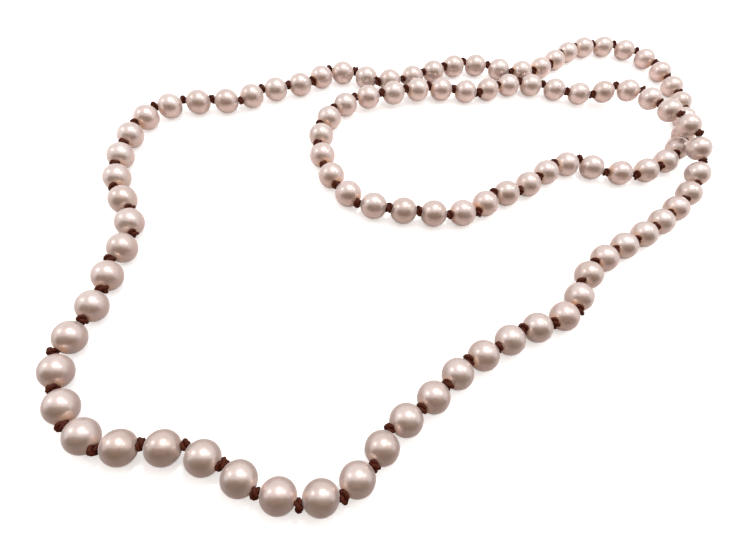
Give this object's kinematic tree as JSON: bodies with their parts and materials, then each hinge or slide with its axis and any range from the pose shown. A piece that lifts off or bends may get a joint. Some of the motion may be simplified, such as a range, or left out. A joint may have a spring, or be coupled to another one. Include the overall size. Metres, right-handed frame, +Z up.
{
  "type": "pearl necklace",
  "caption": "Long endless strand of round drilled pearls on a thin cord knotted between every two pearls, lying in a double loop that crosses itself.",
  "frame": {"origin": "centre of the bounding box, on the surface that the pearls lie on", "axes": "+Z up from that surface, +X along the longest side of the necklace as it lies, +Y across it"},
  "size_m": [0.2482, 0.2278, 0.0201],
  "materials": {
    "pearl": "soft pearl lustre, pinkish beige",
    "cord": "dark red-brown twisted silk"
  },
  "bodies": {
    "link_01": {"pearls_01": "pearl", "knotted_cord_01": "cord"},
    "link_02": {"pearls_02": "pearl", "knotted_cord_02": "cord"},
    "link_03": {"pearls_03": "pearl", "knotted_cord_03": "cord"},
    "link_04": {"pearls_04": "pearl", "knotted_cord_04": "cord"},
    "link_05": {"pearls_05": "pearl", "knotted_cord_05": "cord"},
    "link_06": {"pearls_06": "pearl", "knotted_cord_06": "cord"},
    "link_07": {"pearls_07": "pearl", "knotted_cord_07": "cord"},
    "link_08": {"pearls_08": "pearl", "knotted_cord_08": "cord"},
    "link_09": {"pearls_09": "pearl", "knotted_cord_09": "cord"},
    "link_10": {"pearls_10": "pearl", "knotted_cord_10": "cord"},
    "link_11": {"pearls_11": "pearl", "knotted_cord_11": "cord"},
    "link_12": {"pearls_12": "pearl", "knotted_cord_12": "cord"},
    "link_13": {"pearls_13": "pearl", "knotted_cord_13": "cord"},
    "link_14": {"pearls_14": "pearl", "knotted_cord_14": "cord"},
    "link_15": {"pearls_15": "pearl", "knotted_cord_15": "cord"},
    "link_16": {"pearls_16": "pearl", "knotted_cord_16": "cord"},
    "link_17": {"pearls_17": "pearl", "knotted_cord_17": "cord"},
    "link_18": {"pearls_18": "pearl", "knotted_cord_18": "cord"},
    "link_19": {"pearls_19": "pearl", "knotted_cord_19": "cord"},
    "link_20": {"pearls_20": "pearl", "knotted_cord_20": "cord"},
    "link_21": {"pearls_21": "pearl", "knotted_cord_21": "cord"},
    "link_22": {"pearls_22": "pearl", "knotted_cord_22": "cord"},
    "link_23": {"pearls_23": "pearl", "knotted_cord_23": "cord"},
    "link_24": {"pearls_24": "pearl", "knotted_cord_24": "cord"},
    "link_25": {"pearls_25": "pearl", "knotted_cord_25": "cord"},
    "link_26": {"pearls_26": "pearl", "knotted_cord_26": "cord"},
    "link_27": {"pearls_27": "pearl", "knotted_cord_27": "cord"},
    "link_28": {"pearls_28": "pearl", "knotted_cord_28": "cord"},
    "link_29": {"pearls_29": "pearl", "knotted_cord_29": "cord"}
  },
  "joints": [
    {"name": "tilt_02", "type": "hinge", "parent": "link_03", "child": "link_02", "pos_m": [-0.03421, -0.10795, 0.0049], "axis": [0.73, -0.6834, 0], "range_deg": [0, 40]},
    {"name": "level_02", "type": "hinge", "parent": "link_02", "child": "link_01", "pos_m": [-0.01221, -0.08445, 0.0049], "axis": [0.73, -0.6834, 0], "range_deg": [-40, 0]},
    {"name": "tilt_04", "type": "hinge", "parent": "link_05", "child": "link_04", "pos_m": [-0.11371, -0.08245, 0.0049], "axis": [-0.3714, -0.9285, 0], "range_deg": [0, 40]},
    {"name": "level_04", "type": "hinge", "parent": "link_04", "child": "link_03", "pos_m": [-0.07621, -0.09745, 0.0049], "axis": [-0.3714, -0.9285, 0], "range_deg": [-40, 0]},
    {"name": "tilt_06", "type": "hinge", "parent": "link_07", "child": "link_06", "pos_m": [-0.11021, -0.01695, 0.0049], "axis": [-1, 0, 0], "range_deg": [0, 40]},
    {"name": "level_06", "type": "hinge", "parent": "link_06", "child": "link_05", "pos_m": [-0.11021, -0.04995, 0.0049], "axis": [-1, 0, 0], "range_deg": [-40, 0]},
    {"name": "tilt_08", "type": "hinge", "parent": "link_09", "child": "link_08", "pos_m": [-0.09121, 0.04355, 0.0049], "axis": [-0.7194, 0.6946, 0], "range_deg": [0, 40]},
    {"name": "level_08", "type": "hinge", "parent": "link_08", "child": "link_07", "pos_m": [-0.11921, 0.01455, 0.0049], "axis": [-0.7194, 0.6946, 0], "range_deg": [-40, 0]},
    {"name": "tilt_10", "type": "hinge", "parent": "link_11", "child": "link_10", "pos_m": [-0.01221, 0.06855, 0.0049], "axis": [-0.1745, 0.9847, 0], "range_deg": [0, 40]},
    {"name": "level_10", "type": "hinge", "parent": "link_10", "child": "link_09", "pos_m": [-0.05171, 0.06155, 0.0049], "axis": [-0.1745, 0.9847, 0], "range_deg": [-40, 0]},
    {"name": "tilt_12", "type": "hinge", "parent": "link_13", "child": "link_12", "pos_m": [0.05979, 0.08955, 0.0049], "axis": [-0.19, 0.9818, 0], "range_deg": [0, 40]},
    {"name": "level_12", "type": "hinge", "parent": "link_12", "child": "link_11", "pos_m": [0.02879, 0.08355, 0.0049], "axis": [-0.19, 0.9818, 0], "range_deg": [-40, 0]},
    {"name": "tilt_14", "type": "hinge", "parent": "link_15", "child": "link_14", "pos_m": [0.11829, 0.08605, 0.0049], "axis": [0.5752, 0.818, 0], "range_deg": [0, 40]},
    {"name": "level_14", "type": "hinge", "parent": "link_14", "child": "link_13", "pos_m": [0.08629, 0.10855, 0.0049], "axis": [0.5752, 0.818, 0], "range_deg": [-40, 0]},
    {"name": "tilt_16", "type": "hinge", "parent": "link_15", "child": "link_16", "pos_m": [0.11029, 0.04105, 0.0049], "axis": [-0.4856, 0.8742, 0], "range_deg": [0, 40]},
    {"name": "level_16", "type": "hinge", "parent": "link_16", "child": "link_17", "pos_m": [0.06979, 0.01855, 0.0049], "axis": [-0.4856, 0.8742, 0], "range_deg": [-40, 0]},
    {"name": "tilt_18", "type": "hinge", "parent": "link_17", "child": "link_18", "pos_m": [0.03129, 0.00505, 0.0049], "axis": [-0.3408, 0.9401, 0], "range_deg": [0, 40]},
    {"name": "level_18", "type": "hinge", "parent": "link_18", "child": "link_19", "pos_m": [-0.00871, -0.00945, 0.0049], "axis": [-0.3408, 0.9401, 0], "range_deg": [-40, 0]},
    {"name": "tilt_20", "type": "hinge", "parent": "link_19", "child": "link_20", "pos_m": [-0.04371, 0.01105, 0.0049], "axis": [0.965, -0.2621, 0], "range_deg": [0, 40]},
    {"name": "level_20", "type": "hinge", "parent": "link_20", "child": "link_21", "pos_m": [-0.03271, 0.05155, 0.0054], "axis": [0.965, -0.2621, 0], "range_deg": [-40, 0]},
    {"name": "tilt_22", "type": "hinge", "parent": "link_21", "child": "link_22", "pos_m": [-0.00021, 0.06305, 0.0054], "axis": [0.1843, -0.9829, 0], "range_deg": [0, 40]},
    {"name": "level_22", "type": "hinge", "parent": "link_22", "child": "link_23", "pos_m": [0.03179, 0.06905, 0.0049], "axis": [0.1843, -0.9829, 0], "range_deg": [-40, 0]},
    {"name": "tilt_24", "type": "hinge", "parent": "link_23", "child": "link_24", "pos_m": [0.06429, 0.06905, 0.0049], "axis": [-0.3892, -0.9211, 0], "range_deg": [0, 40]},
    {"name": "level_24", "type": "hinge", "parent": "link_24", "child": "link_25", "pos_m": [0.09979, 0.05405, 0.0129], "axis": [-0.3892, -0.9211, 0], "range_deg": [-40, 0]},
    {"name": "tilt_26", "type": "hinge", "parent": "link_25", "child": "link_26", "pos_m": [0.10979, 0.02355, 0.0094], "axis": [-0.7982, 0.6024, 0], "range_deg": [0, 40]},
    {"name": "level_26", "type": "hinge", "parent": "link_26", "child": "link_27", "pos_m": [0.08979, -0.00295, 0.0049], "axis": [-0.7982, 0.6024, 0], "range_deg": [-40, 0]},
    {"name": "tilt_28", "type": "hinge", "parent": "link_27", "child": "link_28", "pos_m": [0.06229, -0.02245, 0.0049], "axis": [-0.7869, 0.6171, 0], "range_deg": [0, 40]},
    {"name": "level_28", "type": "hinge", "parent": "link_28", "child": "link_29", "pos_m": [0.04229, -0.04795, 0.0049], "axis": [-0.7869, 0.6171, 0], "range_deg": [-40, 0]}
  ],
  "couplings": [
    {"joint": "level_02", "follows": "tilt_02", "ratio": -1},
    {"joint": "level_04", "follows": "tilt_04", "ratio": -1},
    {"joint": "level_06", "follows": "tilt_06", "ratio": -1},
    {"joint": "level_08", "follows": "tilt_08", "ratio": -1},
    {"joint": "level_10", "follows": "tilt_10", "ratio": -1},
    {"joint": "level_12", "follows": "tilt_12", "ratio": -1},
    {"joint": "level_14", "follows": "tilt_14", "ratio": -1},
    {"joint": "level_16", "follows": "tilt_16", "ratio": -1},
    {"joint": "level_18", "follows": "tilt_18", "ratio": -1},
    {"joint": "level_20", "follows": "tilt_20", "ratio": -1},
    {"joint": "level_22", "follows": "tilt_22", "ratio": -1},
    {"joint": "level_24", "follows": "tilt_24", "ratio": -1},
    {"joint": "level_26", "follows": "tilt_26", "ratio": -1},
    {"joint": "level_28", "follows": "tilt_28", "ratio": -1}
  ]
}
